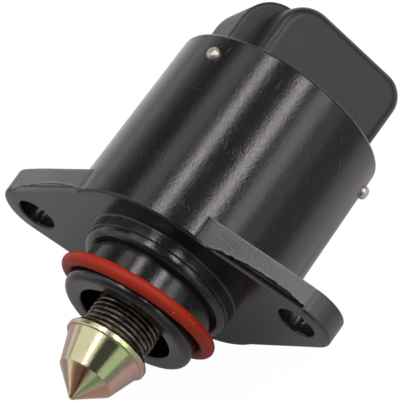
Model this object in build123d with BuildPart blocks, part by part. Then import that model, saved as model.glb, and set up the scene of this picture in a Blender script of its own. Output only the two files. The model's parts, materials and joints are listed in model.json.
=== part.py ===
"""Idle air control valve: a stepper motor in a flanged can screws a sprung pintle in and out."""

import os
from math import cos, radians, sin, tan

from build123d import *

os.makedirs("parts", exist_ok=True)

# The origin is on the valve's axis, in the mounting face. The pintle points along -Y,
# the connector along +Y, and the two screw ears lie along X. Sizes are in millimetres.

# Fits, beside pressed and moulded-in pieces, which share one surface
slip = 0.05            # radial gap of pieces that are slid into place
running = 0.03         # radial gap of pieces that turn or slide
stack_gap = 0.1        # axial play between stacked pieces

# Can and flange, one die casting with the snout
can_radius = 16.1
can_draft = 1.45       # degrees, narrower towards the rear
can_length = 28.4      # mounting face to rear rim
can_wall = 1.95        # at the flange
can_rim_round = 0.6
flange_thickness = 3.8
flange_edge_round = 0.45
ear_spacing = 44.3
ear_radius = 5.3
ear_hole_radius = 2.8

# Snout in front of the mounting face
snout_length = 9.8
snout_bore_radius = 7.1
snout_bore_depth = 2.2  # floor of the bore behind the mounting face
front_wall = 1.4        # between that floor and the motor
neck_radius = 11.15
neck_draft = 3.0        # degrees
neck_length = 3.3
neck_round = 1.1
neck_fillet = 0.3
groove_setback = 1.6    # score line behind the neck's front
groove_depth = 0.15
relief_width = 0.45     # undercut between neck and land
relief_depth = 0.35
land_radius = 9.65
land_edge_round = 0.15
lip_radius = 9.95
lip_length = 1.25
lip_round = 1.0
bore_edge_round = 0.25

# Seal ring on the snout, which sits a little askew
seal_section = 2.0
seal_seat_gap = 0.25
seal_centre = 6.45      # in front of the mounting face
seal_tilt = 7.8         # degrees
seal_tilt_towards = 76.0  # direction of its foremost point, from +X towards +Z

# Pintle and lead screw
travel = 5.5            # of the pintle, back from where it is modelled
collar_rear = 13.0      # these five are in front of the mounting face
collar_front = 14.9
taper_front = 19.15
cone_front = 22.35
pintle_tip = 22.65
collar_radius = 6.1
collar_rear_radius = 5.4
collar_bevel = 0.7
taper_rear_radius = 5.6
taper_front_radius = 4.1
tip_radius = 0.55
spring_pocket_depth = 2.0
screw_radius = 2.0
screw_flat = 1.6        # half width across its flats
screw_rear = 17.5       # behind the mounting face
screw_socket_depth = 3.2
screw_chamfer = 0.4

# Return spring
spring_outer_radius = 4.95
spring_wire = 0.6
spring_turns = 17.5
spring_pocket_gap = 0.15

# Guide bush in the front wall
bush_flange_radius = 5.6
bush_flange = 0.7
bush_body_radius = 4.2

# Front ball bearing and its carrier
carrier_length = 4.4
carrier_rim = 1.2
carrier_web = 1.1
carrier_hub = 1.4
carrier_ribs = 6
carrier_rib = 1.2
bearing_bore_radius = 3.0
bearing_outer_radius = 7.5
bearing_width = 3.6
bearing_lip = 0.6       # carrier edge in front of the outer race
race_wall = 1.3
ball_radius = 1.2
ball_count = 7
cage_section = 0.8      # radial
cage_reach = 1.4        # behind the balls' centres
cage_start = 0.3

# Rotor
magnet_share = 0.589    # of the stator's radius
magnet_bore_radius = 5.4
rotor_shoulder_radius = 4.0
rotor_shoulder = 0.6
nut_length = 6.0
screw_relief = 0.5      # hub bore beyond the nut, over the screw
rear_journal_radius = 2.6
rear_journal = 3.2

# Stator: two coils between four claw-pole stampings
pole_sheet = 0.8
air_gap = 0.25
claw_count = 6
claw_root = 3.6
claw_tip = 2.2
claw_end_gap = 0.4
bobbin_wall = 0.6
winding_margin = 0.5    # bobbin flange beyond the copper

# Rear bush and thrust washer
rear_bush_wall = 1.9
thrust_washer = 0.4

# Connector cap, closing the can's rear
connector_angle = 36.7  # outward face of the socket, from +X towards +Z
connector_shift = 0.45  # middle of the socket from the axis, away from the key
cap_depth = 6.5         # plug inside the can
cap_rim = 2.1
cap_floor = 2.2
bush_sleeve = 1.4
cap_seal_section = 1.1
cap_seal_setback = 1.3  # centre of the seal behind the cap's inner face
socket_half_width = 10.4
socket_front = 8.3
socket_back = -3.7
socket_end = 39.65      # behind the mounting face
socket_corner = 3.6
socket_key_corner = 5.0  # the corner beside the key
socket_edge_round = 1.5
socket_wall = 1.8
socket_side_wall = 2.7
socket_bore_round = 1.1
socket_floor = 1.9
key_side = 13.5
key_front = 3.3
key_end = 39.0
key_rise = 1.5          # of the key's end from its back to its front
key_corner = 5.8
key_edge_round = 0.55
latch_width = 6.0
latch_height = 1.5
latch_length = 3.6
latch_setback = 2.4     # from the socket's end

# Terminals
terminal_count = 4
terminal_pitch = 3.9
terminal_width = 1.5
terminal_thickness = 0.8
terminal_row = 2.3      # from the axis towards the socket's outward face
terminal_recess = 4.6   # blade tips below the socket's end
terminal_tail_share = 0.667  # tail from the axis, of the stator's radius
terminal_tail = 3.6     # tail below the cap's floor

# Retaining pins through the can's wall
pin_radius = 1.0
pin_from_rim = 3.5
pin_depth = 1.4         # into the cap's rim
pin_dome = 0.5
pin_spread = 66.0       # degrees either side of the socket's outward face

# Stations along Y, and radii that follow from the sizes above
wall_rear = snout_bore_depth + front_wall
carrier_rear = wall_rear + carrier_length
cap_inner = can_length - cap_depth
stator_rear = cap_inner - stack_gap
coil_length = (stator_rear - carrier_rear) / 2   # one coil with its two poles
stator_middle = carrier_rear + coil_length
cap_plug_floor = can_length - cap_floor
can_rear_radius = can_radius - (can_length - flange_thickness) * tan(radians(can_draft))
can_bore_radius = can_radius - can_wall
stator_radius = can_bore_radius - slip
magnet_radius = stator_radius * magnet_share
terminal_tail_row = stator_radius * terminal_tail_share
claw_inner = magnet_radius + air_gap
claw_outer = claw_inner + pole_sheet
lip_rear = snout_length - lip_length
relief_front = neck_length + relief_width
relief_radius = land_radius - relief_depth
neck_front_radius = neck_radius - neck_length * tan(radians(neck_draft))
spring_radius = spring_outer_radius - spring_wire / 2
spring_seat = snout_bore_depth - bush_flange
pocket_floor = collar_rear + spring_pocket_depth
bearing_front = wall_rear + bearing_lip
bearing_rear = bearing_front + bearing_width
ball_row = (bearing_front + bearing_rear) / 2
inner_race_radius = bearing_bore_radius + race_wall
outer_race_inner = bearing_outer_radius - race_wall
ball_pitch_radius = (inner_race_radius + outer_race_inner) / 2
magnet_front = bearing_rear + rotor_shoulder
washer_front = cap_inner - stack_gap / 2 - thrust_washer
hub_rear = washer_front - stack_gap / 2
magnet_rear = hub_rear - rotor_shoulder
nut_front = magnet_front + rotor_shoulder
rear_bush_rear = cap_inner + rear_journal
rear_bush_radius = rear_journal_radius + running + rear_bush_wall
winding_inner = claw_outer + slip + bobbin_wall
winding_outer = stator_radius - pole_sheet - slip - winding_margin
pin_station = can_length - pin_from_rim
pin_seat_radius = can_radius - (pin_station - flange_thickness) * tan(radians(can_draft))
pin_angles = [connector_angle - pin_spread, connector_angle + pin_spread, connector_angle + 180]

# Planes: across the axis, and square to the connector
axis_plane = Plane.XZ                       # local z runs along -Y
across = Vector(sin(radians(connector_angle)), 0, -cos(radians(connector_angle)))
outward = Vector(cos(radians(connector_angle)), 0, sin(radians(connector_angle)))
socket_middle = across * connector_shift
socket_plane = Plane(socket_middle, x_dir=across, z_dir=(0, -1, 0))   # across, outward
front_plane = Plane(socket_middle, x_dir=across, z_dir=outward)       # across, along Y
side_plane = Plane(socket_middle, x_dir=(0, 1, 0), z_dir=across)      # along Y, outward


def radial_plane(angle, radius, station):
    """A plane whose normal points away from the axis."""
    away = Vector(cos(radians(angle)), 0, sin(radians(angle)))
    return Plane(away * radius + Vector(0, station, 0), x_dir=(0, 1, 0), z_dir=away)


def turned(points, radii=0):
    """A solid turned about the axis from a closed (radius, Y) outline, with rounded corners."""
    with BuildPart() as body:
        with BuildSketch(Plane.XY):
            with BuildLine():
                if radii:
                    FilletPolyline(*points, radius=radii, close=True)
                else:
                    Polyline(*points, close=True)
            make_face()
        revolve(axis=Axis.Y)
    return body.part


def ring(inner, outer, front, rear):
    """A plain turned ring between two stations."""
    return turned([(inner, front), (outer, front), (outer, rear), (inner, rear)])


def save(part, name):
    part.label = name
    export_step(part, f"parts/{name}.step")


# Housing: can, flange and snout
housing_outline = [
    ((snout_bore_radius, -snout_length), bore_edge_round),
    ((lip_radius, -snout_length), lip_round),
    ((lip_radius, -lip_rear), 0),
    ((land_radius, -lip_rear), 0),
    ((land_radius, -relief_front), land_edge_round),
    ((relief_radius, -relief_front), 0),
    ((relief_radius, -neck_length), 0),
    ((neck_front_radius, -neck_length), neck_round),
    ((neck_front_radius, -neck_length + groove_setback - groove_depth), 0),
    ((neck_front_radius - groove_depth, -neck_length + groove_setback), 0),
    ((neck_front_radius + groove_depth / 2, -neck_length + groove_setback + groove_depth), 0),
    ((neck_radius, 0), neck_fillet),
    ((can_radius, 0), flange_edge_round),
    ((can_radius, flange_thickness), 0),
    ((can_rear_radius, can_length), can_rim_round),
    ((can_bore_radius, can_length), 0),
    ((can_bore_radius, wall_rear), 0),
    ((bush_body_radius, wall_rear), 0),
    ((bush_body_radius, snout_bore_depth), 0),
    ((snout_bore_radius, snout_bore_depth), 0),
]
housing_body = turned([p for p, r in housing_outline], [r for p, r in housing_outline])

with BuildPart() as housing:
    with BuildSketch(axis_plane):
        Circle(can_radius)
        with Locations((-ear_spacing / 2, 0), (ear_spacing / 2, 0)):
            Circle(ear_radius)
        make_hull()
    extrude(amount=-flange_thickness)
    flange_rims = housing.faces().filter_by(Axis.Y).edges()
    fillet(flange_rims, flange_edge_round)
    Cylinder(can_bore_radius, 2 * can_length, rotation=(90, 0, 0), mode=Mode.SUBTRACT)
    add(housing_body)
    with BuildSketch(axis_plane):
        with Locations((-ear_spacing / 2, 0), (ear_spacing / 2, 0)):
            Circle(ear_hole_radius)
    extrude(amount=-flange_thickness, mode=Mode.SUBTRACT)
    for angle in pin_angles:
        with BuildSketch(radial_plane(angle, can_bore_radius / 2, pin_station)):
            Circle(pin_radius)
        extrude(amount=can_radius, mode=Mode.SUBTRACT)
save(housing.part, "housing")

# Seal ring on the snout, turned about the direction square to its foremost point
seal_ring_radius = land_radius + seal_seat_gap + seal_section / 2
tilt_axis = Vector(sin(radians(seal_tilt_towards)), 0, -cos(radians(seal_tilt_towards)))
seal_axis = Vector(0, -1, 0).rotate(Axis((0, 0, 0), tilt_axis), seal_tilt)
with BuildPart() as snout_seal:
    with BuildSketch(Plane((0, -seal_centre, 0), x_dir=tilt_axis, z_dir=seal_axis.cross(tilt_axis))):
        with Locations((seal_ring_radius, 0)):
            Circle(seal_section / 2)
    revolve(axis=Axis((0, -seal_centre, 0), seal_axis))
save(snout_seal.part, "snout_seal")

# Pintle: collar, taper and cone, with a pocket for the spring and a socket for the screw
pintle = turned(
    [
        (0, -pintle_tip),
        (tip_radius, -cone_front),
        (taper_front_radius, -taper_front),
        (taper_rear_radius, -collar_front),
        (collar_radius, -collar_front + (collar_radius - taper_rear_radius) / 2),
        (collar_radius, -collar_rear - collar_bevel),
        (collar_rear_radius, -collar_rear),
        (spring_outer_radius + spring_pocket_gap, -collar_rear),
        (spring_outer_radius + spring_pocket_gap, -pocket_floor),
        (screw_radius, -pocket_floor),
        (screw_radius, -pocket_floor - screw_socket_depth),
        (0, -pocket_floor - screw_socket_depth),
    ]
)
save(pintle, "pintle")

# Lead screw: round behind, with two flats where it slides in the guide bush
with BuildPart() as lead_screw:
    with BuildSketch(axis_plane.offset(pocket_floor + screw_socket_depth)):
        Circle(screw_radius)
    extrude(amount=-(pocket_floor + screw_socket_depth + screw_rear))
    chamfer(lead_screw.edges().sort_by(Axis.Y)[-1], screw_chamfer)
    with BuildSketch(axis_plane.offset(travel + 2 * bush_flange)):
        Rectangle(4 * screw_radius, 2 * screw_radius + 2 * screw_flat)
        Rectangle(4 * screw_radius, 2 * screw_flat, mode=Mode.SUBTRACT)
    extrude(amount=-(travel + 2 * bush_flange + wall_rear), mode=Mode.SUBTRACT)
save(lead_screw.part, "lead_screw")

# Return spring, between the guide bush and the pintle's pocket
spring_length = spring_seat + pocket_floor - spring_wire
with BuildPart() as return_spring:
    with BuildLine() as coil_path:
        Helix(
            pitch=spring_length / spring_turns,
            height=spring_length,
            radius=spring_radius,
            center=(0, spring_seat - spring_wire / 2, 0),
            direction=(0, -1, 0),
        )
    with BuildSketch(Plane(coil_path.line @ 0, z_dir=coil_path.line % 0)):
        Circle(spring_wire / 2)
    sweep(is_frenet=True)
save(return_spring.part, "return_spring")

# Guide bush: its flange seats the spring and its flats stop the screw from turning
with BuildPart() as guide_bush:
    add(
        turned(
            [
                (0, spring_seat),
                (bush_flange_radius, spring_seat),
                (bush_flange_radius, snout_bore_depth),
                (bush_body_radius, snout_bore_depth),
                (bush_body_radius, wall_rear),
                (0, wall_rear),
            ]
        )
    )
    with BuildSketch(axis_plane.offset(-spring_seat)):
        Circle(screw_radius + running)
        Rectangle(4 * screw_radius, 2 * (screw_flat + running), mode=Mode.INTERSECT)
    extrude(amount=-(bush_flange + front_wall), mode=Mode.SUBTRACT)
save(guide_bush.part, "guide_bush")

# Bearing carrier: rim, web and hub with ribs, holding the outer race
carrier_outer = can_bore_radius - slip
carrier_hub_radius = bearing_outer_radius + carrier_hub
with BuildPart() as bearing_carrier:
    add(
        turned(
            [
                (bearing_outer_radius - race_wall / 2, wall_rear),
                (carrier_outer, wall_rear),
                (carrier_outer, carrier_rear),
                (carrier_outer - carrier_rim, carrier_rear),
                (carrier_outer - carrier_rim, wall_rear + carrier_web),
                (carrier_hub_radius, wall_rear + carrier_web),
                (carrier_hub_radius, carrier_rear),
                (bearing_outer_radius, carrier_rear),
                (bearing_outer_radius, bearing_front),
                (bearing_outer_radius - race_wall / 2, bearing_front),
            ]
        )
    )
    rib_inner = carrier_hub_radius - carrier_hub / 2
    rib_outer = carrier_outer - carrier_rim / 2
    with BuildSketch(axis_plane.offset(-wall_rear)):
        with PolarLocations((rib_inner + rib_outer) / 2, carrier_ribs):
            Rectangle(rib_outer - rib_inner, carrier_rib)
    extrude(amount=-carrier_length)
save(bearing_carrier.part, "bearing_carrier")

# Front ball bearing
def race(inner, outer):
    """A bearing race with the groove that the balls run in."""
    with BuildPart() as body:
        add(ring(inner, outer, bearing_front, bearing_rear))
        with BuildSketch(Plane.XY):
            with Locations((ball_pitch_radius, ball_row)):
                Circle(ball_radius + running)
        revolve(axis=Axis.Y, mode=Mode.SUBTRACT)
    return body.part


save(race(bearing_bore_radius, inner_race_radius), "bearing_inner_race")
save(race(outer_race_inner, bearing_outer_radius), "bearing_outer_race")

ball_places = axis_plane.offset(-ball_row)
with BuildPart() as bearing_balls:
    with Locations(ball_places):
        with PolarLocations(ball_pitch_radius, ball_count):
            Sphere(ball_radius)
save(bearing_balls.part, "bearing_balls")

with BuildPart() as bearing_cage:
    add(
        ring(
            ball_pitch_radius - cage_section / 2,
            ball_pitch_radius + cage_section / 2,
            ball_row + cage_start,
            ball_row + cage_reach,
        )
    )
    with Locations(ball_places):
        with PolarLocations(ball_pitch_radius, ball_count):
            Sphere(ball_radius + slip, mode=Mode.SUBTRACT)
save(bearing_cage.part, "bearing_cage")

# Rotor hub: journals at both ends, and the nut that drives the screw
screw_bore = screw_radius + running
relief_bore = screw_bore + screw_relief
rotor_hub = turned(
    [
        (relief_bore, wall_rear + stack_gap),
        (bearing_bore_radius, wall_rear + stack_gap),
        (bearing_bore_radius, bearing_rear),
        (rotor_shoulder_radius, bearing_rear),
        (rotor_shoulder_radius, magnet_front),
        (magnet_bore_radius, magnet_front),
        (magnet_bore_radius, magnet_rear),
        (rotor_shoulder_radius, magnet_rear),
        (rotor_shoulder_radius, hub_rear),
        (rear_journal_radius, hub_rear),
        (rear_journal_radius, rear_bush_rear),
        (relief_bore - screw_relief / 2, rear_bush_rear),
        (relief_bore - screw_relief / 2, nut_front + nut_length),
        (screw_bore, nut_front + nut_length),
        (screw_bore, nut_front),
        (relief_bore, nut_front),
    ]
)
save(rotor_hub, "rotor_hub")

# Rotor magnet, pressed on the hub
save(ring(magnet_bore_radius, magnet_radius, magnet_front, magnet_rear), "rotor_magnet")


# Claw-pole stator
def claws(face, towards, turn):
    """The ring of tapered claws that stands on a pole's disc, bent along Y in the given sense."""
    claw_end = face + towards * (coil_length - pole_sheet - claw_end_gap)
    with BuildPart() as body:
        for k in range(claw_count):
            with BuildSketch(radial_plane(turn + k * 360 / claw_count, claw_inner / 2, 0)):
                with BuildLine():
                    Polyline(
                        (face, -claw_root / 2),
                        (claw_end, -claw_tip / 2),
                        (claw_end, claw_tip / 2),
                        (face, claw_root / 2),
                        close=True,
                    )
                make_face()
            extrude(amount=claw_outer)
        add(ring(claw_inner, claw_outer, min(face, claw_end), max(face, claw_end)), mode=Mode.INTERSECT)
    return body.part


def pole(face, towards, with_wall, turn):
    """A stamped pole: a disc at the station face, its claws, and on a cup the outer wall."""
    disc_outer = stator_radius if with_wall else stator_radius - pole_sheet - slip
    disc_end = face + towards * pole_sheet
    wall_end = face + towards * coil_length
    tooth_ring = claws(face, towards, turn)
    with BuildPart() as body:
        add(ring(claw_inner, disc_outer, min(face, disc_end), max(face, disc_end)))
        add(tooth_ring)
        if with_wall:
            wall_inner = stator_radius - pole_sheet
            add(ring(wall_inner, stator_radius, min(face, wall_end), max(face, wall_end)))
    return body.part


half_step = 180 / claw_count
save(pole(carrier_rear, 1, True, 0), "stator_cup_front")
save(pole(stator_middle, -1, False, half_step), "pole_plate_front")
save(pole(stator_middle, 1, False, half_step / 2), "pole_plate_rear")
save(pole(stator_rear, -1, True, half_step * 1.5), "stator_cup_rear")

# Coils on their bobbins
for coil, start in (("front", carrier_rear + pole_sheet), ("rear", stator_middle + pole_sheet)):
    end = start + coil_length - 2 * pole_sheet
    bobbin_inner = claw_outer + slip
    bobbin = turned(
        [
            (bobbin_inner, start),
            (winding_outer + winding_margin, start),
            (winding_outer + winding_margin, start + bobbin_wall),
            (winding_inner, start + bobbin_wall),
            (winding_inner, end - bobbin_wall),
            (winding_outer + winding_margin, end - bobbin_wall),
            (winding_outer + winding_margin, end),
            (bobbin_inner, end),
        ]
    )
    save(bobbin, f"bobbin_{coil}")
    save(ring(winding_inner, winding_outer, start + bobbin_wall, end - bobbin_wall), f"winding_{coil}")

# Rear bush and thrust washer
save(ring(rear_journal_radius + running, rear_bush_radius, cap_inner, rear_bush_rear), "rear_bush")
save(
    ring(rear_journal_radius + slip, rotor_shoulder_radius, washer_front, washer_front + thrust_washer),
    "thrust_washer",
)


# Terminals: a blade in the socket, a step under its floor and a tail towards the coils
def terminal(offset):
    """One stamped terminal, bent twice, at a place across the socket."""
    tip = socket_end - terminal_recess
    step = cap_plug_floor + (cap_floor - terminal_thickness) / 2
    blade = terminal_row
    tail = terminal_tail_row
    half = terminal_thickness / 2
    with BuildPart() as body:
        with BuildSketch(side_plane.offset(offset - terminal_width / 2)):
            with BuildLine():
                Polyline(
                    (tip, blade - half),
                    (tip, blade + half),
                    (step + terminal_thickness, blade + half),
                    (step + terminal_thickness, tail + half),
                    (cap_plug_floor - terminal_tail, tail + half),
                    (cap_plug_floor - terminal_tail, tail - half),
                    (step, tail - half),
                    (step, blade - half),
                    close=True,
                )
            make_face()
        extrude(amount=terminal_width)
        tip_edges = body.faces().sort_by(Axis.Y)[-1].edges()
        chamfer(tip_edges, terminal_thickness / 4)
    return body.part


terminal_offsets = [(k - (terminal_count - 1) / 2) * terminal_pitch for k in range(terminal_count)]
terminals = [terminal(offset) for offset in terminal_offsets]
for number, blade in enumerate(terminals, start=1):
    save(blade, f"terminal_{number}")


# Connector cap: a plug in the can's rear with the socket moulded on it
def moulded_block(outline, corners, back, front, edge_round, rise=0):
    """A block on the cap with soft edges, from its outline at the back, which may rise to the front."""
    with BuildPart() as block:
        with BuildSketch(front_plane.offset(back)):
            with BuildLine():
                FilletPolyline(*outline, radius=corners, close=True)
            make_face()
        slant = outward * (front - back) + Vector(0, rise, 0)
        extrude(amount=slant.length, dir=slant)
        rounded = block.edges() - block.faces().sort_by(Axis.Y)[0].edges()
        fillet(rounded, edge_round)
    return block.part


block_foot = can_length - cap_floor / 2
key_foot = cap_plug_floor + slip
socket_block = moulded_block(
    [
        (-socket_half_width, block_foot),
        (socket_half_width, block_foot),
        (socket_half_width, socket_end),
        (-socket_half_width, socket_end),
    ],
    [0, 0, socket_corner, socket_key_corner],
    socket_back,
    socket_front,
    socket_edge_round,
)
key_block = moulded_block(
    [
        (-key_side, key_foot),
        (0, key_foot),
        (0, key_end - key_rise),
        (-key_side, key_end - key_rise),
    ],
    [0, 0, 0, key_corner],
    socket_back,
    key_front,
    key_edge_round,
    key_rise,
)
plug_radius = can_bore_radius - slip
seal_groove_depth = cap_seal_section - slip
with BuildPart() as connector_cap:
    add(
        turned(
            [
                (0, can_length),
                (plug_radius, can_length),
                (plug_radius, cap_inner),
                (plug_radius - cap_rim, cap_inner),
                (plug_radius - cap_rim, cap_plug_floor),
                (rear_bush_radius + bush_sleeve, cap_plug_floor),
                (rear_bush_radius + bush_sleeve, cap_inner),
                (rear_bush_radius, cap_inner),
                (rear_bush_radius, rear_bush_rear),
                (rear_journal_radius, rear_bush_rear),
                (rear_journal_radius, cap_plug_floor),
                (0, cap_plug_floor),
            ]
        )
    )
    seal_station = cap_inner + cap_seal_setback
    add(
        ring(
            plug_radius - seal_groove_depth,
            can_radius,
            seal_station - cap_seal_section / 2 - slip,
            seal_station + cap_seal_section / 2 + slip,
        ),
        mode=Mode.SUBTRACT,
    )
    add(socket_block)
    add(key_block)
    # latch ramp on the socket's back
    ramp_start = socket_end - latch_setback - latch_length
    with BuildSketch(side_plane.offset(-latch_width / 2)):
        with BuildLine():
            Polyline(
                (ramp_start, socket_back + socket_wall / 2),
                (ramp_start, socket_back - latch_height),
                (ramp_start + latch_length, socket_back),
                (ramp_start + latch_length, socket_back + socket_wall / 2),
                close=True,
            )
        make_face()
    extrude(amount=latch_width)
    # the hollow that takes the plug
    mouth_depth = socket_end - can_length - socket_floor
    inner_height = socket_front - socket_back - 2 * socket_wall
    with BuildSketch(socket_plane.offset(-socket_end)):
        with Locations((0, (socket_front + socket_back) / 2)):
            RectangleRounded(2 * (socket_half_width - socket_side_wall), inner_height, socket_bore_round)
    extrude(amount=mouth_depth, mode=Mode.SUBTRACT)
    for blade in terminals:
        add(blade, mode=Mode.SUBTRACT)
    for angle in pin_angles:
        with BuildSketch(radial_plane(angle, plug_radius - pin_depth, pin_station)):
            Circle(pin_radius)
        extrude(amount=can_radius, mode=Mode.SUBTRACT)
save(connector_cap.part, "connector_cap")

# Seal ring in the cap's groove
with BuildPart() as cap_seal:
    with BuildSketch(Plane.XY):
        with Locations((plug_radius - seal_groove_depth + cap_seal_section / 2, seal_station)):
            Circle(cap_seal_section / 2)
    revolve(axis=Axis.Y)
save(cap_seal.part, "cap_seal")


# Retaining pins, driven through the can's wall into the cap
def retaining_pin(angle):
    """A pin with a low domed head that stands a little proud of the can."""
    away = radial_plane(angle, 0, 0).z_dir
    foot = plug_radius - pin_depth
    dome_radius = (pin_radius**2 + pin_dome**2) / (2 * pin_dome)
    with BuildPart() as body:
        with BuildSketch(Plane((0, pin_station, 0), x_dir=away, z_dir=away.cross(Vector(0, 1, 0)))):
            with BuildLine():
                crown = (pin_seat_radius + pin_dome, 0)
                shoulder = (pin_seat_radius, pin_radius)
                Polyline(crown, (foot, 0), (foot, pin_radius), shoulder)
                RadiusArc(shoulder, crown, dome_radius)
            make_face()
        revolve(axis=Axis((0, pin_station, 0), away))
    return body.part


with BuildPart() as retaining_pins:
    for angle in pin_angles:
        add(retaining_pin(angle))
save(retaining_pins.part, "retaining_pins")
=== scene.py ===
import json
from math import cos, pi, radians, sin, tan

import bmesh
import bpy
from mathutils import Matrix, Vector


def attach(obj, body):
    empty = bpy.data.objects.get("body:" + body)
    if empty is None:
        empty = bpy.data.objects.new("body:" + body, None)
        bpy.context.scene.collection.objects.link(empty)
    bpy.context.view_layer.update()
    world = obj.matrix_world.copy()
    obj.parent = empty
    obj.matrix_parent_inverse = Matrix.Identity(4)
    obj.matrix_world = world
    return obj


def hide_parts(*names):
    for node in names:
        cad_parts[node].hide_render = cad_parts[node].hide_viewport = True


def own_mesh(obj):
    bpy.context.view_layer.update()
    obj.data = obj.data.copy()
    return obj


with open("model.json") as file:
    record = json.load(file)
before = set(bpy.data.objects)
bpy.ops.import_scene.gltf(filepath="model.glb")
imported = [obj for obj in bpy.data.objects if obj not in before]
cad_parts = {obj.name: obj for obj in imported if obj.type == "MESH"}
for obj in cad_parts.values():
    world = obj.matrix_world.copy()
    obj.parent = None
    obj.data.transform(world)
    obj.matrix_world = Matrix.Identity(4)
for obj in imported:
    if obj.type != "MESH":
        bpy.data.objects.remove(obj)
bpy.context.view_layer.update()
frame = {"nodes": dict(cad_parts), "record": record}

# Shapes are drawn in millimetres, with the valve's axis along Y, and come
# down to the frame's metres when a piece is finished.
MILLIMETRE = 0.001
AXIS = Vector((0, 1, 0))
FULL_TURN = 2 * pi
SIDES = (-1, 1)


# ---------------------------------------------------------------- finishes

class Shade:
    """A value on its way through a finish's nodes."""

    def __init__(self, finish, socket):
        self.finish = finish
        self.socket = socket

    def __add__(self, other):
        return self.finish.math("ADD", self, other)

    def __sub__(self, other):
        return self.finish.math("SUBTRACT", self, other)

    def __rsub__(self, other):
        return self.finish.math("SUBTRACT", other, self)

    def __mul__(self, other):
        return self.finish.math("MULTIPLY", self, other)

    def __truediv__(self, other):
        return self.finish.math("DIVIDE", self, other)

    def __rtruediv__(self, other):
        return self.finish.math("DIVIDE", other, self)

    def __abs__(self):
        return self.finish.math("ABSOLUTE", self)

    __radd__ = __add__
    __rmul__ = __mul__


class Finish:
    """A node tree that is added to a node at a time."""

    def __init__(self, tree):
        self.tree = tree

    def add(self, kind, settings=None, sockets=None, output=0):
        """A new node: its type, its settings, then what its sockets take."""
        node = self.tree.nodes.new(kind)
        for name, value in (settings or {}).items():
            setattr(node, name, value)
        for name, value in (sockets or {}).items():
            self.feed(node.inputs[name], value)
        return Shade(self, node.outputs[output])

    def feed(self, socket, value):
        """Links a socket to a shade, or sets it to a plain value."""
        if isinstance(value, Shade):
            self.tree.links.new(value.socket, socket)
        else:
            socket.default_value = value

    def math(self, operation, *values):
        return self.add(
            "ShaderNodeMath", {"operation": operation}, dict(enumerate(values))
        )

    def mix(self, first, second, share):
        """One colour that gives way to another, by the node's colour sockets."""
        return self.add(
            "ShaderNodeMix",
            {"data_type": "RGBA"},
            {0: share, 6: first, 7: second},
            output=2,
        )

    def step(self, value, low, high):
        """0 at low, 1 at high, and smooth between, whichever is larger."""
        return self.add(
            "ShaderNodeMapRange",
            {"interpolation_type": "SMOOTHSTEP"},
            {"Value": value, "From Min": low, "From Max": high},
        )

    def place(self, size=1, turn=(0, 0, 0), centre=(0, 0, 0)):
        """Object coordinates, counted in pattern sizes given in mm."""
        sizes = size if isinstance(size, tuple) else (size,) * 3
        return self.add(
            "ShaderNodeMapping",
            {"vector_type": "TEXTURE"},
            {
                "Vector": self.add("ShaderNodeTexCoord", output="Object"),
                "Location": Vector(centre) * MILLIMETRE,
                "Rotation": turn,
                "Scale": Vector(sizes) * MILLIMETRE,
            },
        )

    def split(self, vector):
        """The three numbers of a vector."""
        return [
            self.add("ShaderNodeSeparateXYZ", {}, {"Vector": vector}, output)
            for output in range(3)
        ]

    def rays(self, *kinds):
        """1 where a ray is of a kind, for each of the kinds."""
        return [
            self.add("ShaderNodeLightPath", output=f"Is {kind} Ray") for kind in kinds
        ]

    def noise(self, detail=2.0, roughness=0.5, **where):
        return self.add(
            "ShaderNodeTexNoise",
            {},
            {
                "Vector": self.place(**where),
                "Scale": 1.0,
                "Detail": detail,
                "Roughness": roughness,
            },
        )

    def specks(self, reach, **where):
        """1 at the middle of scattered dots, 0 beyond their reach."""
        away = self.add(
            "ShaderNodeTexVoronoi",
            {"feature": "F1"},
            {"Vector": self.place(**where), "Scale": 1.0},
        )
        return 1 - self.step(away, reach * 0.5, reach)

    def bump(self, height, depth):
        """A Normal from a height of 0 to 1 that is depth mm deep."""
        return self.add(
            "ShaderNodeBump",
            {},
            {"Height": height, "Distance": depth * MILLIMETRE, "Strength": 1.0},
        )


class Surface(Finish):
    """A named material and its one shader."""

    def __init__(self, name):
        self.material = bpy.data.materials.new(name)
        self.material.use_nodes = True
        super().__init__(self.material.node_tree)
        self.shader = self.tree.nodes["Principled BSDF"]

    def set(self, sockets):
        """Feeds the shader, and gives the finished material."""
        for name, value in sockets.items():
            self.feed(self.shader.inputs[name], value)
        return self.material


def grey(level):
    return (level, level, level, 1.0)


SCORE_TWIST = (1.0, 0.7, 1.3)
SCORE_SHIFT = (11.0, 7.0, 3.0)
SCORE_EDGE = 0.03


def scratches(surface, length, width, density, *turns):
    """Fine straight scores that run several ways over a surface."""
    found = 0.0
    for number, turn in enumerate(turns):
        line = surface.noise(
            detail=1.0,
            size=(width, length, length),
            turn=[turn * share for share in SCORE_TWIST],
            centre=[number * shift for shift in SCORE_SHIFT],
        )
        found = surface.step(line, density, density + SCORE_EDGE) + found
    return found


def black_coat():
    """Satin black paint with a faint grain, fine scores and dust."""
    coat = Surface("black_coat")
    deep, thin = (0.009, 0.0086, 0.0086, 1), (0.013, 0.0126, 0.0126, 1)
    rubbed = (0.16, 0.155, 0.15, 1)
    cloud = coat.noise(size=7, detail=3)
    grain = coat.noise(size=0.26, detail=3)
    fleck = coat.step(grain, 0.36, 0.64)
    scores = scratches(coat, 4.0, 0.07, 0.755, 0.2, 1.1, 2.3)
    dust = coat.specks(0.08, size=1.3)
    wear = scores * 0.5 + dust * 0.7
    return coat.set({
        "Base Color": coat.mix(coat.mix(deep, thin, cloud), rubbed, wear * 0.4),
        "Roughness": 0.11 + cloud * 0.05 + fleck * 0.08 + wear * 0.15,
        "Specular IOR Level": 0.5,
        "Normal": coat.bump(grain + fleck * 0.05 + scores * 0.3, 0.017),
    })


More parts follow.
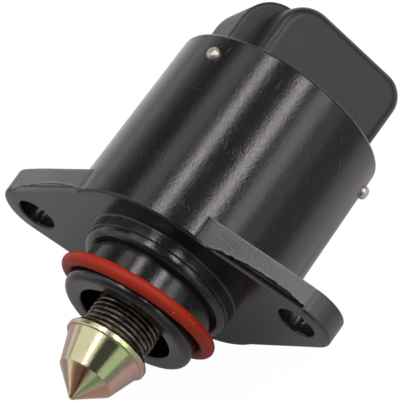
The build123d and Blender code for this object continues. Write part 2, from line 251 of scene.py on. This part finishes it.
# Where the ears' sides change, in mm out from the valve's middle.
CAST_FROM = 10.2
CAST_END = 24.6
PALER_OUTWARD = (13, 23)
# Past here the ears' ends are painted lighter: painted light.
PAINTED_LIGHT_END = (25.4, 27)
PARTING_MIDDLE = 17.0
PARTING_SHIFT = 2.5
PARTING_REACH = 6.5
# The same in mm back from the mounting face.
FRONT_RIM = (0.3, 0.1)
REAR_RIM = (3.4, 3.7)
FLASH_TOP = (1.0, 0.8)
CREST_HEIGHT = 1.05
UNDER_HEIGHT = 0.78
GROOVE_HEIGHT = 0.5


def cast_edge():
    """The ears' sides: pale cast skin, with the ragged line where a mould parts,
    painted shade in its crevices, painted highlights on its crest and rims, and
    painted light on the ears' ends.
    """
    side = Surface("cast_edge")
    across, along, _ = side.split(side.place())
    reach = abs(across)
    right = side.step(across, -1, 1)
    cloud = side.noise(size=(1.8, 1.2, 1.8), detail=3)
    skin = side.noise(size=0.26, detail=3, roughness=0.6)
    ragged = side.noise(size=(0.9, 0.6, 0.9), detail=5, roughness=0.65)

    bare = side.step(reach + ragged * 0.5, CAST_END + 0.6, CAST_END + 0.2)
    bare = bare * side.step(reach + ragged, CAST_FROM, CAST_FROM + 1.6)
    from_middle = (reach - PARTING_MIDDLE - right * PARTING_SHIFT) / PARTING_REACH
    height = along + from_middle * from_middle * 0.8 - ragged * 0.8
    flash = side.step(height, *FLASH_TOP) * bare
    smooth = flash * right
    groove = side.step(abs(along - GROOVE_HEIGHT - ragged * 0.2), 0.22, 0.1) * flash
    crest = side.step(abs(height - CREST_HEIGHT), 0.16, 0.05) * bare
    # A dark line under the crest and in the groove is painted shade, in the colour
    # and through Metallic.
    shade_under_crest = side.step(abs(height - UNDER_HEIGHT), 0.17, 0.06) * bare
    crevice_shade = side.math("MAXIMUM", groove, shade_under_crest)
    # The crest and the front and rear rims are painted lighter: painted highlights.
    rim_highlights = side.step(along, *FRONT_RIM) + side.step(along, *REAR_RIM)
    edges = crest * (0.5 - right * 0.2) + rim_highlights * bare * 0.4

    outward = side.step(reach, *PALER_OUTWARD)
    pale = side.mix(grey(0.018), grey(0.07), side.step(skin, 0.34, 0.66))
    pale = side.mix(pale, grey(0.13), (cloud * 0.4 + outward * 0.6) * 0.7)
    # Towards their tips the ears' ends are painted lighter: painted light.
    end_painted_lighter = side.mix(grey(0.016), grey(0.045), side.step(reach, *PAINTED_LIGHT_END))
    colour = side.mix(end_painted_lighter, pale, bare)
    colour = side.mix(colour, grey(0.008), smooth)
    colour = side.mix(colour, grey(0.006), crevice_shade)
    rough = (0.03 + bare * 0.06) * (1.0 - smooth * 0.75)
    relief = (skin + cloud * 0.6) * rough + flash * 0.06 - groove * 0.2
    return side.set({
        "Base Color": side.mix(colour, grey(0.2), edges),
        "Metallic": crevice_shade * 0.85,
        "Roughness": 0.26 + skin * 0.12 - smooth * 0.15,
        "Specular IOR Level": 0.5,
        "Normal": side.bump(relief, 1.0),
    })


def red_rubber():
    """Moulded silicone with a soft bloom and a few specks of lint."""
    rubber = Surface("red_rubber")
    deep, light = (0.28, 0.0135, 0.0035, 1), (0.37, 0.022, 0.0055, 1)
    bloom = rubber.noise(size=2.4, detail=4)
    grain = rubber.noise(size=0.12, detail=2)
    lint = rubber.specks(0.12, size=1.4)
    colour = rubber.mix(deep, light, bloom)
    return rubber.set({
        "Base Color": rubber.mix(colour, (0.6, 0.3, 0.25, 1), lint * 0.5),
        "Roughness": 0.42 + bloom * 0.14,
        "Specular IOR Level": 0.22,
        "Normal": rubber.bump(grain, 0.006),
    })


PALE_GOLD = (0.68, 0.63, 0.41, 1)
DULL_GOLD = (0.54, 0.56, 0.33, 1)
ZINC_GREEN = (0.45, 0.6, 0.29, 1)
ZINC_PINK = (0.63, 0.39, 0.36, 1)
ZINC_RED = (0.6, 0.27, 0.18, 1)
ZINC_SMUT = (0.3, 0.22, 0.15, 1)
CONE_FROM = (-18.7, -19.3)
COLLAR_FROM = (-14.8, -14.5)


def yellow_zinc():
    """Passivated zinc: gold that turns green and pink round the piece."""
    zinc = Surface("yellow_zinc")
    across, along, up = zinc.split(zinc.place())
    film = zinc.noise(size=(1.8, 1.4, 1.8), detail=3, centre=(5, 2, 1))
    drift = zinc.noise(size=(2.4, 1.8, 2.4), detail=2)
    grain = zinc.noise(size=0.2, detail=3)
    rings = zinc.noise(size=(6, 0.09, 6), detail=2)
    around = zinc.math("ARCTAN2", up, across) + film * 0.3

    def sector(start, full):
        """0 before one angle round the axis, and 1 from another on."""
        return zinc.step(around, radians(start), radians(full))

    on_cone = zinc.step(along + film * 0.5, *CONE_FROM)
    on_collar = zinc.step(along, *COLLAR_FROM)
    green = sector(24, 36) * sector(62, 48)
    blush = zinc.math("MAXIMUM", sector(118, 138), sector(30, 14))
    middle = sector(58, 72) * sector(118, 104) * (0.8 + drift * 0.3)
    ruddy = on_cone * zinc.math("MAXIMUM", middle, sector(26, 14) * 0.55)
    colour = zinc.mix(PALE_GOLD, DULL_GOLD, drift)
    colour = zinc.mix(colour, ZINC_GREEN, green * (0.35 + film * 0.9))
    colour = zinc.mix(colour, ZINC_PINK, blush * 0.85)
    colour = zinc.mix(colour, ZINC_RED, ruddy)
    return zinc.set({
        "Base Color": zinc.mix(colour, ZINC_SMUT, grain * 0.3),
        "Metallic": 1.0,
        "Roughness": 0.1 + grain * 0.12 + on_collar * 0.11,
        "Normal": zinc.bump(rings * 0.6 + grain, 0.012),
    })


def spring_steel():
    """Drawn wire under an uneven film of oil."""
    steel = Surface("oiled_spring_steel")
    dark, light = (0.08, 0.068, 0.058, 1), (0.24, 0.21, 0.18, 1)
    oil = steel.noise(size=1.1, detail=3)
    drawn = steel.noise(size=0.14, detail=2)
    return steel.set({
        "Base Color": steel.mix(dark, light, steel.step(oil, 0.35, 0.7)),
        "Metallic": 1.0,
        "Roughness": 0.24 + oil * 0.2,
        "Normal": steel.bump(drawn, 0.004),
    })


def bright_steel():
    """Plain steel that has dulled in patches."""
    steel = Surface("bright_steel")
    dark, light = (0.4, 0.37, 0.31, 1), (0.62, 0.59, 0.53, 1)
    dull = steel.noise(size=0.5, detail=3)
    grain = steel.noise(size=0.1, detail=2)
    return steel.set({
        "Base Color": steel.mix(dark, light, dull),
        "Metallic": 1.0,
        "Roughness": 0.32 + dull * 0.16,
        "Normal": steel.bump(grain, 0.004),
    })


def moulded_plastic(name, dark, light, sheen):
    """A moulding with a fine spark-eroded skin and a little lint."""
    plastic = Surface(name)
    cloud = plastic.noise(size=4, detail=3)
    spark = plastic.noise(size=0.13, detail=3, roughness=0.6)
    lint = plastic.specks(0.06, size=1.6)
    colour = plastic.mix(dark, light, cloud * 0.6 + spark * 0.4)
    return plastic.set({
        "Base Color": plastic.mix(colour, (0.3, 0.29, 0.28, 1), lint * 0.4),
        "Roughness": sheen + spark * 0.14,
        "Normal": plastic.bump(spark, 0.02),
    })


def metal(name, dark, light, polish):
    """A worked metal with clouded shine and fine turning marks."""
    stock = Surface(name)
    cloud = stock.noise(size=1.8, detail=3)
    marks = stock.noise(size=(4, 0.1, 4), detail=2)
    return stock.set({
        "Base Color": stock.mix(dark, light, cloud),
        "Metallic": 1.0,
        "Roughness": polish + cloud * 0.12,
        "Normal": stock.bump(marks, 0.004),
    })


HALF_WIRE = 0.11


def wound_copper():
    """Enamelled wire laid in rows round the bobbin, with painted shade where the rows
    meet.
    """
    copper = Surface("enamelled_copper")
    dark, light = (0.3, 0.06, 0.02, 1), (0.62, 0.2, 0.07, 1)
    _, along, _ = copper.split(copper.place())
    row = copper.math("PINGPONG", along, HALF_WIRE) / HALF_WIRE
    cloud = copper.noise(size=1, detail=3)
    return copper.set({
        # Each row is darker where it meets the next and lighter on its crest: painted
        # shade and painted highlight.
        "Base Color": copper.mix(dark, light, row),
        "Metallic": 1.0,
        "Roughness": 0.24 + cloud * 0.16,
        "Normal": copper.bump(copper.math("SQRT", row), 0.06),
    })


def ferrite():
    """Pressed magnet powder, grey and gritty."""
    block = Surface("ferrite")
    grit = block.noise(size=0.2, detail=4, roughness=0.6)
    return block.set({
        "Base Color": block.mix(grey(0.03), grey(0.07), grit),
        "Roughness": 0.5 + grit * 0.2,
        "Normal": block.bump(grit, 0.02),
    })


def black_rubber():
    """Dull rubber with a grey bloom."""
    rubber = Surface("black_rubber")
    bloom = rubber.noise(size=2, detail=4)
    return rubber.set({
        "Base Color": rubber.mix(grey(0.012), grey(0.03), bloom),
        "Roughness": 0.5 + bloom * 0.15,
        "Normal": rubber.bump(bloom, 0.01),
    })


FINISHES = {
    "housing_coat": black_coat(),
    "red_seal": red_rubber(),
    "yellow_zinc": yellow_zinc(),
    "bright_steel": bright_steel(),
    "spring_steel": spring_steel(),
    "bronze": metal(
        "sintered_bronze", (0.3, 0.15, 0.06, 1), (0.46, 0.26, 0.11, 1), 0.34
    ),
    "black_plastic": moulded_plastic(
        "black_plastic", (0.008, 0.0078, 0.0078, 1), (0.013, 0.0127, 0.0127, 1), 0.32
    ),
    "natural_plastic": moulded_plastic(
        "natural_plastic", (0.55, 0.5, 0.4, 1), (0.7, 0.66, 0.55, 1), 0.4
    ),
    "brass": metal("turned_brass", (0.5, 0.34, 0.12, 1), (0.7, 0.52, 0.22, 1), 0.2),
    "ferrite": ferrite(),
    "pole_steel": metal("zinc_plated_steel", grey(0.4), grey(0.6), 0.26),
    "copper": wound_copper(),
    "tin": metal("tinned_brass", grey(0.55), grey(0.75), 0.22),
    "black_seal": black_rubber(),
}
CAST_EDGE = cast_edge()


# ------------------------------------------------------------------ shapes

TURN_STEPS = 180
CORNER_SEGMENTS = 5
SHARP_ANGLE = radians(30)
MERGE_WITHIN = 0.0005
TOLERANCE = 0.001


def rounded(mesh, corner, radius):
    """Rounds one corner of a drawn line by a radius."""
    before, after = [edge.other_vert(corner).co for edge in corner.link_edges]
    turn = (corner.co - before).angle(after - corner.co)
    bmesh.ops.bevel(
        mesh,
        geom=[corner],
        offset=radius * tan(turn / 2),
        offset_type="OFFSET",
        segments=CORNER_SEGMENTS,
        profile=0.5,
        affect="VERTICES",
        material=-1,
    )


def profile(mesh, points):
    """Draws a line of (radius, along) or (radius, along, rounding) points."""
    line = [mesh.verts.new((radius, along, 0)) for radius, along, *_ in points]
    for first, second in zip(line, line[1:]):
        mesh.edges.new((first, second))
    for corner, point in zip(line, points):
        if len(point) > 2:
            rounded(mesh, corner, point[2])


def turn_round(mesh, steps):
    """Spins everything drawn so far once round the valve's axis."""
    bmesh.ops.spin(
        mesh,
        geom=mesh.verts[:] + mesh.edges[:],
        cent=(0, 0, 0),
        axis=AXIS,
        dvec=(0, 0, 0),
        angle=FULL_TURN,
        steps=steps,
        use_merge=True,
    )


def turned(points, steps=TURN_STEPS):
    """A shape as a lathe makes it, from one drawn line."""
    mesh = bmesh.new()
    profile(mesh, points)
    turn_round(mesh, steps)
    return mesh


def added(mesh, other, matrix=Matrix()):
    """Puts another mesh, moved by a matrix, into this one."""
    data = bpy.data.meshes.new("part_of_a_piece")
    other.transform(matrix)
    other.to_mesh(data)
    other.free()
    mesh.from_mesh(data)
    bpy.data.meshes.remove(data)


def merged(mesh):
    """Joins the vertices that lie on each other."""
    bmesh.ops.remove_doubles(mesh, verts=mesh.verts[:], dist=MERGE_WITHIN)


def finished(name, mesh, body, slot, node, extra=()):
    """Closes a mesh, and makes it a piece that stands for a node on a body."""
    merged(mesh)
    bmesh.ops.recalc_face_normals(mesh, faces=mesh.faces[:])
    bmesh.ops.scale(mesh, vec=(MILLIMETRE,) * 3, verts=mesh.verts[:])
    for face in mesh.faces:
        face.smooth = True
    for edge in mesh.edges:
        edge.smooth = edge.calc_face_angle(pi) < SHARP_ANGLE
    data = bpy.data.meshes.new(name)
    mesh.to_mesh(data)
    mesh.free()
    piece = bpy.data.objects.new(name, data)
    bpy.context.scene.collection.objects.link(piece)
    for material in (FINISHES[slot], *extra):
        data.materials.append(material)
    even = piece.modifiers.new("even_shading", "WEIGHTED_NORMAL")
    even.keep_sharp = True
    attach(piece, body)
    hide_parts(node)
    return piece


# ----------------------------------------------------------------- housing

CAN_RADIUS = 16.1
EAR_REACH = 22.15
EAR_RADIUS = 5.3
EAR_SEGMENTS = 96
EAR_HOLE = 2.8
HOLE_ROUND = 0.3
HOLE_CORNER = HOLE_ROUND * 0.98
HOLE_SEGMENTS = 72
FLANGE = 3.8
FLANGE_ROUND = 0.45
FLANGE_REAR_ROUND = FLANGE_ROUND * 0.7
RIM_SEGMENTS = 4
FLAT_CIRCLE = 15.88
FLAT_FROM = 9.9
FLAT_CUTS = 5
FLAT_PITCH = 0.5
FLAT_MARGIN = 0.1
FLAT_ANGLE = radians(0.5)
CAP_FACING = 0.99
CAP_CORNERS = 40
FACE_RING = 14.6
REAR_RING = 16.004

CAN_AND_SNOUT = [
    # The can, outside and then inside.
    (REAR_RING, FLANGE),
    (15.477, 28.4, 0.6),
    (14.15, 28.4),
    (14.15, 3.6),
    (4.2, 3.6),
    # The snout's bore, its lip and the land under the ring.
    (4.2, 2.2),
    (7.1, 2.2),
    (7.1, -9.8, 0.25),
    (9.95, -9.8, 1.0),
    (9.95, -8.55, 0.1),
    (9.65, -8.5, 0.05),
    (9.65, -3.75, 0.15),
    # The groove, the shoulder with its fine line, and the mounting face.
    (9.3, -3.75),
    (9.3, -3.3),
    (10.977, -3.3, 1.1),
    (11.062, -1.85),
    (10.912, -1.7),
    (11.07, -1.55),
    (11.15, 0, 0.3),
    (FACE_RING, 0),
]

HOLE_COLLAR = [
    (EAR_HOLE + HOLE_ROUND, 0),
    (EAR_HOLE, 0, HOLE_CORNER),
    (EAR_HOLE, FLANGE, HOLE_CORNER),
    (EAR_HOLE + HOLE_ROUND, FLANGE),
]


def ring(mesh, radius, across, along, segments):
    """Draws a bare circle that faces along the valve's axis."""
    stand = Matrix.Translation((across, along, 0)) @ Matrix.Rotation(pi / 2, 4, "X")
    bmesh.ops.create_circle(
        mesh, cap_ends=False, segments=segments, radius=radius, matrix=stand
    )


def edges_where(mesh, holds):
    """The edges of which both ends pass a test of their place."""
    return [
        edge for edge in mesh.edges if all(holds(vert.co) for vert in edge.verts)
    ]


def flange_hull():
    """The hull round the flange's circle and its two ears."""
    mesh = bmesh.new()
    for along in (0, FLANGE):
        ring(mesh, FLAT_CIRCLE, 0, along, TURN_STEPS)
        for side in SIDES:
            ring(mesh, EAR_RADIUS, side * EAR_REACH, along, EAR_SEGMENTS)
    hull = bmesh.ops.convex_hull(mesh, input=mesh.verts[:])
    spare = {
        part
        for part in hull["geom_interior"] + hull["geom_unused"]
        if isinstance(part, bmesh.types.BMVert)
    }
    bmesh.ops.delete(mesh, geom=list(spare), context="VERTS")
    bmesh.ops.dissolve_limit(
        mesh, angle_limit=FLAT_ANGLE, verts=mesh.verts[:], edges=mesh.edges[:]
    )
    return mesh


def ear_plate():
    """The flange's outline, rounded on its rims and open on both faces."""
    mesh = flange_hull()
    for number in range(FLAT_CUTS):
        for side in SIDES:
            bmesh.ops.bisect_plane(
                mesh,
                geom=mesh.verts[:] + mesh.edges[:] + mesh.faces[:],
                plane_co=(side * (FLAT_FROM - number * FLAT_PITCH), 0, 0),
                plane_no=(1, 0, 0),
            )
    across_caps = [
        edge
        for edge in mesh.edges
        if all(abs(face.normal.y) > CAP_FACING for face in edge.link_faces)
    ]
    bmesh.ops.dissolve_edges(mesh, edges=across_caps)
    for vert in mesh.verts:
        away = Vector((vert.co.x, 0, vert.co.z))
        if abs(away.x) < FLAT_FROM + TOLERANCE:
            vert.co += away * (CAN_RADIUS / away.length - 1)
    front = edges_where(mesh, lambda at: at.y < TOLERANCE)
    rear = edges_where(
        mesh,
        lambda at: at.y > FLANGE - TOLERANCE and abs(at.x) > FLAT_FROM + FLAT_MARGIN,
    )
    for rim, offset in ((front, FLANGE_ROUND), (rear, FLANGE_REAR_ROUND)):
        bmesh.ops.bevel(
            mesh,
            geom=rim,
            offset=offset,
            offset_type="OFFSET",
            segments=RIM_SEGMENTS,
            profile=0.5,
            affect="EDGES",
            material=-1,
        )
    caps = [face for face in mesh.faces if len(face.verts) > CAP_CORNERS]
    bmesh.ops.delete(mesh, geom=caps, context="FACES_ONLY")
    for face in mesh.faces:
        on_ear = abs(face.calc_center_median().x) > FLAT_FROM
        face.material_index = 1 if on_ear else 0
    return mesh


def make_housing():
    """Can, snout and flange, with the two screw holes, as one casting."""
    mesh = turned(CAN_AND_SNOUT)
    added(mesh, ear_plate())
    for side in SIDES:
        collar = turned(HOLE_COLLAR, HOLE_SEGMENTS)
        added(mesh, collar, Matrix.Translation((side * EAR_REACH, 0, 0)))
    merged(mesh)
    for along in (0, FLANGE):
        in_plane = edges_where(mesh, lambda at: abs(at.y - along) < TOLERANCE)
        bmesh.ops.triangle_fill(
            mesh,
            use_beauty=True,
            use_dissolve=False,
            edges=[edge for edge in in_plane if edge.is_boundary],
        )
    finished(
        "housing_shell", mesh, "valve_body", "housing_coat", "housing", [CAST_EDGE]
    )


# -------------------------------------------------------------- snout ring

SEAL_SECTION = 1.0
SEAL_SEGMENTS = 28
SEAL_STEPS = 200
SEAL_MIDDLE = 10.9
SEAL_ALONG = -6.45
SEAL_TILT = radians(7.8)
SEAL_LEAN = radians(76)


def make_snout_ring():
    """The red ring, which sits a little aslant on the snout."""
    mesh = bmesh.new()
    section = bmesh.ops.create_circle(
        mesh, cap_ends=False, segments=SEAL_SEGMENTS, radius=SEAL_SECTION
    )["verts"]
    bmesh.ops.translate(mesh, verts=section, vec=(SEAL_MIDDLE, 0, 0))
    turn_round(mesh, SEAL_STEPS)
    hinge = Vector((sin(SEAL_LEAN), 0, -cos(SEAL_LEAN)))
    mesh.transform(
        Matrix.Translation((0, SEAL_ALONG, 0)) @ Matrix.Rotation(SEAL_TILT, 4, hinge)
    )
    finished("snout_ring", mesh, "valve_body", "red_seal", "snout_seal")


# ------------------------------------------------------------------ pintle

PINTLE = [
    # The tip, the cone and the taper.
    (0, -22.65),
    (0.36, -22.65, 0.2),
    (0.6, -22.35, 0.2),
    (4.1, -19.15, 0.2),
    (5.7, -14.62, 0.08),
    # The collar.
    (5.72, -14.55, 0.02),
    (6.1, -14.55, 0.2),
    (6.1, -13.75, 0.25),
    (5.4, -13.0, 0.2),
    # The spring's seat and the screw's socket.
    (5.1, -13.0),
    (5.1, -15.0),
    (2.0, -15.0),
    (2.0, -18.2),
    (0, -18.2),
]


def make_pintle():
    """The pintle, turned in one piece."""
    mesh = turned(PINTLE)
    finished("pintle_cone", mesh, "pintle_and_screw", "yellow_zinc", "pintle")


# ------------------------------------------------------------------ spring

WIRE = 0.3
WIRE_SEGMENTS = 10
COIL_RADIUS = 4.65
COIL_REAR = 1.5
COIL_FRONT = -15.0
COIL_TURNS = 17.5
CLOSE_TURNS = 12.0
CLOSE_PITCH = 0.74
END_TURNS = 1.0
SHUT_PITCH = 2 * WIRE * 1.03
STEPS_A_TURN = 40


def make_spring():
    """The return spring, wound closer in front and shut at either end."""
    mesh = bmesh.new()
    section = bmesh.ops.create_circle(
        mesh, cap_ends=True, segments=WIRE_SEGMENTS, radius=WIRE
    )["verts"]
    bmesh.ops.translate(
        mesh, verts=section, vec=(COIL_RADIUS, COIL_REAR - WIRE, 0)
    )
    last = mesh.verts[:] + mesh.edges[:] + mesh.faces[:]
    open_turns = COIL_TURNS - CLOSE_TURNS - 2 * END_TURNS
    open_length = (
        COIL_REAR
        - COIL_FRONT
        - 2 * WIRE
        - CLOSE_TURNS * CLOSE_PITCH
        - 2 * END_TURNS * SHUT_PITCH
    )
    for turns, pitch in (
        (END_TURNS, SHUT_PITCH),
        (open_turns, open_length / open_turns),
        (CLOSE_TURNS, CLOSE_PITCH),
        (END_TURNS, SHUT_PITCH),
    ):
        last = bmesh.ops.spin(
            mesh,
            geom=last,
            cent=(0, 0, 0),
            axis=AXIS,
            dvec=(0, -pitch / STEPS_A_TURN, 0),
            angle=FULL_TURN * turns,
            steps=round(STEPS_A_TURN * turns),
            use_merge=False,
        )["geom_last"]
    coil = finished(
        "return_coil", mesh, "valve_body", "spring_steel", "return_spring"
    )
    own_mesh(coil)


# --------------------------------------------------------- pins and solids

PIN_ANGLES = (-29.3, 102.7, 216.7)
PIN_STATION = 24.9
PIN_SEGMENTS = 48
PIN = [
    (0, 16.4),
    (1.0, 16.4, 0.78),
    (1.0, 12.7, 0.1),
    (0, 12.7),
]


def make_pins():
    """Three pins with domed heads, pressed in through the can's wall."""
    mesh = bmesh.new()
    outward = Matrix.Rotation(-pi / 2, 4, "Z")
    for angle in PIN_ANGLES:
        lean = Matrix.Rotation(-radians(angle), 4, "Y") @ outward
        place = Matrix.Translation((0, PIN_STATION, 0)) @ lean
        added(mesh, turned(PIN, PIN_SEGMENTS), place)
    finished("pin_heads", mesh, "valve_body", "bright_steel", "retaining_pins")


def dress_cad_nodes():
    """Gives every solid that still shows its finish."""
    for part in frame["record"]["subparts"]:
        data = frame["nodes"][part["node"]].data
        data.materials.clear()
        data.materials.append(FINISHES[part["material_slot"]])


dress_cad_nodes()
make_housing()
make_snout_ring()
make_pintle()
make_spring()
make_pins()


# ------------------------------------------------- floor, lights and camera

FLOOR_DROP = 16.2
FLOOR_REACH = 3.0
# How pale the floor is, and where along or across the valve that changes; the darker
# stretches are painted shade, which the valve's faces mirror.
FLOOR_BEHIND, FLOOR_SHADE_UNDER, FLOOR_SHADE_AHEAD, FLOOR_SHADE_RIGHT = 0.93, 0.58, 0.4, 0.22
CAN_TO_SNOUT = (16, 2)
PAST_PINTLE = (-18, -36)
FLANGE_FRONT, FLANGE_REAR = (-6, 4), (18, 10)
FAR_RIGHT = (28, 46)
# How bright the paper shows, and the share that each kind of ray sees.
PAPER_WHITE = 1.03
CAMERA_SHARE = 0.95
GLOSS_SHARE = 0.1


def white_paper():
    """Paper that shows white, with painted shade where the valve mirrors it."""
    paper = Surface("white_paper")
    across, along, _ = paper.split(paper.place())
    # Under, ahead of and to the right of the valve the paper is painted darker:
    # painted shade.
    level = paper.mix(
        grey(FLOOR_BEHIND), grey(FLOOR_SHADE_UNDER), paper.step(along, *CAN_TO_SNOUT)
    )
    level = paper.mix(level, grey(FLOOR_SHADE_AHEAD), paper.step(along, *PAST_PINTLE))
    beside = paper.step(along, *FLANGE_FRONT) * paper.step(along, *FLANGE_REAR)
    far_right_shade = paper.step(across, *FAR_RIGHT) * (1 - beside)
    paper.set({
        "Base Color": paper.mix(level, grey(FLOOR_SHADE_RIGHT), far_right_shade),
        "Roughness": 0.9,
        "Specular IOR Level": 0.0,
    })
    camera, glossy, through = paper.rays("Camera", "Glossy", "Transmission")
    seen = camera * CAMERA_SHARE + (glossy + through) * GLOSS_SHARE
    lit = Shade(paper, paper.shader.outputs[0])
    glow = paper.add(
        "ShaderNodeEmission", {}, {"Color": grey(1.0), "Strength": PAPER_WHITE}
    )
    paper.feed(
        paper.tree.nodes["Material Output"].inputs["Surface"],
        paper.add("ShaderNodeMixShader", {}, {0: seen, 1: lit, 2: glow}),
    )
    return paper.material


def make_floor():
    """A sheet of paper under the valve."""
    data = bpy.data.meshes.new("floor")
    mesh = bmesh.new()
    bmesh.ops.create_grid(mesh, x_segments=1, y_segments=1, size=FLOOR_REACH)
    bmesh.ops.translate(
        mesh, verts=mesh.verts[:], vec=(0, 0, -FLOOR_DROP * MILLIMETRE)
    )
    mesh.to_mesh(data)
    mesh.free()
    floor = bpy.data.objects.new("floor", data)
    bpy.context.scene.collection.objects.link(floor)
    data.materials.append(white_paper())


# How bright the room is on each side, and the directions where that changes.
ROOM_AROUND, ROOM_OVERHEAD, ROOM_LEFT = 0.11, 0.06, 1.15
ROOM_AHEAD, ROOM_AHEAD_RIGHT, ROOM_GAP = 0.55, 0.7, 0.05
TO_THE_FRONT = (-0.5, -0.95)
TO_THE_LEFT = (-0.1, -0.7)
TO_THE_RIGHT = (0.16, 0.3)
GAP_MIDDLE = -0.02
GAP_REACH = (0.15, 0.05)


def make_surround():
    """White to the camera; for the rest a room that is darker overhead."""
    world = bpy.data.worlds.new("studio")
    bpy.context.scene.world = world
    world.use_nodes = True
    room = Finish(world.node_tree)
    camera, through = room.rays("Camera", "Transmission")
    seen = room.math("MINIMUM", camera + through, 1.0)
    across, along, up = room.split(
        room.add("ShaderNodeTexCoord", output="Generated")
    )
    front = room.step(along, *TO_THE_FRONT)
    left = room.step(across + front * 0.3, *TO_THE_LEFT)
    gap = room.step(abs(across - GAP_MIDDLE), *GAP_REACH)
    ahead = room.mix(
        grey(ROOM_AHEAD), grey(ROOM_AHEAD_RIGHT), room.step(across, *TO_THE_RIGHT)
    )
    ahead = room.mix(ahead, grey(ROOM_GAP), gap)
    level = room.mix(grey(ROOM_AROUND), ahead, front)
    level = room.mix(level, grey(ROOM_LEFT), left)
    height = 0.25 + left * 0.35 + front * 0.4
    wall = room.mix(level, grey(ROOM_OVERHEAD), room.step(up, 0.0, height))
    room.feed(
        world.node_tree.nodes["Background"].inputs["Color"],
        room.mix(wall, grey(1.0), seen),
    )


# Each lamp's direction, its width and length in degrees, and its radiance.
STRIP_AWAY = 0.6
LAMP_TINT = (1.0, 0.955, 0.955)
STRIPS = {
    "strip_left": ((-0.04, 0.23, 0.97), 6.5, 65.0, 10.0),
    "strip_middle": ((0.58, 0.36, 0.73), 8.5, 50.0, 8.8),
    "strip_right": ((0.84, 0.36, 0.41), 16.0, 50.0, 2.7),
    "strip_far_left": ((-0.41, 0.36, 0.84), 17.0, 50.0, 1.3),
    "strip_low": ((0.93, 0.36, 0.06), 18.0, 30.0, 0.75),
    "panel_left": ((-0.42, -0.28, 0.85), 75.0, 40.0, 1.05),
    "panel_right": ((0.93, -0.28, 0.2), 36.0, 34.0, 0.7),
}


def make_strip(name, direction, width, length, radiance):
    """A long lamp that lies beside the valve's axis."""
    lamp = bpy.data.lights.new(name, "AREA")
    lamp.shape = "RECTANGLE"
    lamp.size = 2 * STRIP_AWAY * tan(radians(width / 2))
    lamp.size_y = 2 * STRIP_AWAY * tan(radians(length / 2))
    lamp.energy = radiance * pi * lamp.size * lamp.size_y
    lamp.color = LAMP_TINT
    back = Vector(direction).normalized()
    lengthwise = (AXIS - back * AXIS.dot(back)).normalized()
    sideways = lengthwise.cross(back)
    turn = Matrix((sideways, lengthwise, back)).transposed().to_4x4()
    strip = bpy.data.objects.new(name, lamp)
    strip.matrix_world = Matrix.Translation(back * STRIP_AWAY) @ turn
    strip.visible_camera = False
    bpy.context.scene.collection.objects.link(strip)


AZIMUTH = radians(56.66)
ELEVATION = radians(50.47)
ROLL = radians(-27.19)
AIM = Vector((0.81, 9.39, 3.71)) * MILLIMETRE
CAMERA_AWAY = 1.2024
LENS = 804.0
SENSOR = 36.0
FARTHEST_SEEN = 10.0


def make_camera():
    """A long lens, at the angle and roll of the photograph."""
    data = bpy.data.cameras.new("camera")
    data.lens = LENS
    data.sensor_width = SENSOR
    data.clip_end = FARTHEST_SEEN
    back = Vector((
        sin(AZIMUTH) * cos(ELEVATION), -cos(AZIMUTH) * cos(ELEVATION), sin(ELEVATION)
    ))
    turn = back.to_track_quat("Z", "Y").to_matrix().to_4x4()
    camera = bpy.data.objects.new("camera", data)
    camera.matrix_world = (
        Matrix.Translation(AIM + back * CAMERA_AWAY)
        @ turn
        @ Matrix.Rotation(ROLL, 4, "Z")
    )
    bpy.context.scene.collection.objects.link(camera)
    bpy.context.scene.camera = camera


make_floor()
make_surround()
for name, strip in STRIPS.items():
    make_strip(name, *strip)
make_camera()
bpy.context.scene.view_settings.view_transform = "Standard"
